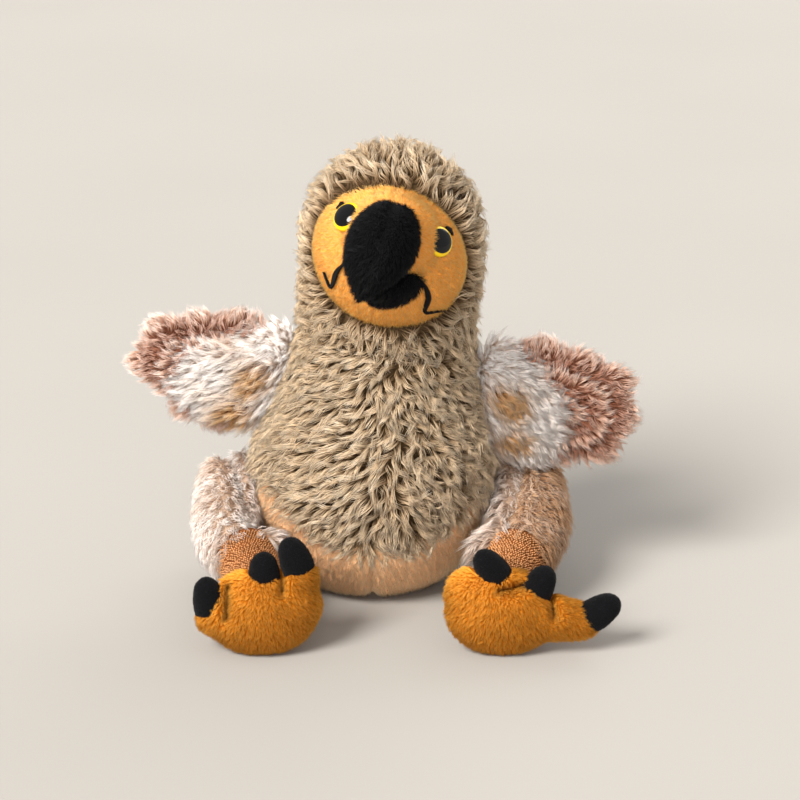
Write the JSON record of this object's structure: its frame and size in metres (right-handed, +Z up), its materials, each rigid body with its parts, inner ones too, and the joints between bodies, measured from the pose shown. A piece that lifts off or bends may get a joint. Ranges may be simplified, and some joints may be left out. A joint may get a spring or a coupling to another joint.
{
  "type": "plush dodo",
  "caption": "Seated plush dodo with a shaggy coat, hooked beak, soft wings, and legs and feet that swing at their seams.",
  "frame": {"origin": "middle of the seat panel, on the floor", "axes": "+Z up, the toy looks along -Y, its own left is +X"},
  "size_m": [0.2567, 0.1954, 0.228],
  "materials": {
    "greige_pile": "long curly plush pile",
    "peach_plush": "short plush",
    "orange_plush": "short plush",
    "black_plush": "short plush",
    "eye_plastic": "glossy, yellow ring and black pupil",
    "washer_plastic": "moulded",
    "black_thread": "satin stitch",
    "white_pile": "long straight pile",
    "brown_pile": "long straight pile",
    "mottled_plush": "mottled plush pile",
    "terry": "looped terry",
    "mustard_plush": "short plush",
    "black_felt": "felt",
    "fibre_fill": "loose fibre",
    "pellet_cloth": "woven bag of pellets"
  },
  "bodies": {
    "torso": {"coat_front_left": "greige_pile", "coat_front_right": "greige_pile", "coat_back_left": "greige_pile", "coat_back_right": "greige_pile", "belly_left": "peach_plush", "belly_right": "peach_plush", "seat_base": "peach_plush", "pellet_bag": "pellet_cloth", "body_stuffing": "fibre_fill"},
    "neck": {"neck_wad": "fibre_fill"},
    "head": {"hood_left": "greige_pile", "hood_right": "greige_pile", "face_left": "orange_plush", "face_right": "orange_plush", "beak_upper": "black_plush", "beak_lower": "black_plush", "beak_stuffing": "fibre_fill", "head_stuffing": "fibre_fill", "eye_left": "eye_plastic", "eye_right": "eye_plastic", "eye_washer_left": "washer_plastic", "eye_washer_right": "washer_plastic", "mouth_stitch_left": "black_thread", "mouth_stitch_right": "black_thread", "brow_stitch_left": "black_thread", "brow_stitch_right": "black_thread"},
    "wing_left": {"wing_front_left": "white_pile", "wing_back_left": "brown_pile", "wing_stuffing_left": "fibre_fill"},
    "leg_left": {"thigh_outer_left": "mottled_plush", "thigh_inner_left": "mottled_plush", "ankle_sleeve_left": "terry", "leg_stuffing_left": "fibre_fill"},
    "foot_left": {"foot_sole_left": "mustard_plush", "foot_top_left": "mustard_plush", "foot_stuffing_left": "fibre_fill", "claw_inner_left": "black_felt", "claw_middle_left": "black_felt", "claw_outer_left": "black_felt"},
    "wing_right": {"wing_front_right": "white_pile", "wing_back_right": "brown_pile", "wing_stuffing_right": "fibre_fill"},
    "leg_right": {"thigh_outer_right": "mottled_plush", "thigh_inner_right": "mottled_plush", "ankle_sleeve_right": "terry", "leg_stuffing_right": "fibre_fill"},
    "foot_right": {"foot_sole_right": "mustard_plush", "foot_top_right": "mustard_plush", "foot_stuffing_right": "fibre_fill", "claw_inner_right": "black_felt", "claw_middle_right": "black_felt", "claw_outer_right": "black_felt"},
    "tail": {"tail_tuft": "white_pile"}
  },
  "joints": [
    {"name": "head_turn", "type": "hinge", "parent": "torso", "child": "neck", "pos_m": [0.00389, 0, 0.108], "axis": [0, 0, 1], "range_deg": [-30, 30], "stiffness_Nm_per_rad": 0.25},
    {"name": "head_nod", "type": "hinge", "parent": "neck", "child": "head", "pos_m": [0.00389, 0, 0.108], "axis": [1, 0, 0], "range_deg": [-15, 18], "stiffness_Nm_per_rad": 0.4},
    {"name": "wing_left_swing", "type": "hinge", "parent": "torso", "child": "wing_left", "pos_m": [0.06189, 0, 0.09998], "axis": [-0.1424, 0, 0.9898], "range_deg": [-45, 20], "stiffness_Nm_per_rad": 0.03},
    {"name": "wing_right_swing", "type": "hinge", "parent": "torso", "child": "wing_right", "pos_m": [-0.05286, 0, 0.10933], "axis": [0.3371, 0, 0.9415], "range_deg": [-35, 40], "stiffness_Nm_per_rad": 0.03},
    {"name": "hip_left_swing", "type": "hinge", "parent": "torso", "child": "leg_left", "pos_m": [0.077, 0.004, 0.041], "axis": [1, 0, 0], "range_deg": [-10, 25], "stiffness_Nm_per_rad": 0.1},
    {"name": "ankle_left_tip", "type": "hinge", "parent": "leg_left", "child": "foot_left", "pos_m": [0.063, -0.07, 0.024], "axis": [1, 0, 0], "range_deg": [-20, 20], "stiffness_Nm_per_rad": 0.05},
    {"name": "hip_right_swing", "type": "hinge", "parent": "torso", "child": "leg_right", "pos_m": [-0.07, 0.004, 0.041], "axis": [1, 0, 0], "range_deg": [-10, 25], "stiffness_Nm_per_rad": 0.1},
    {"name": "ankle_right_tip", "type": "hinge", "parent": "leg_right", "child": "foot_right", "pos_m": [-0.053, -0.07, 0.024], "axis": [1, 0, 0], "range_deg": [-20, 20], "stiffness_Nm_per_rad": 0.05},
    {"name": "tail_lift", "type": "hinge", "parent": "torso", "child": "tail", "pos_m": [0, 0.0633, 0.054], "axis": [1, 0, 0], "range_deg": [-20, 20], "stiffness_Nm_per_rad": 0.02}
  ]
}
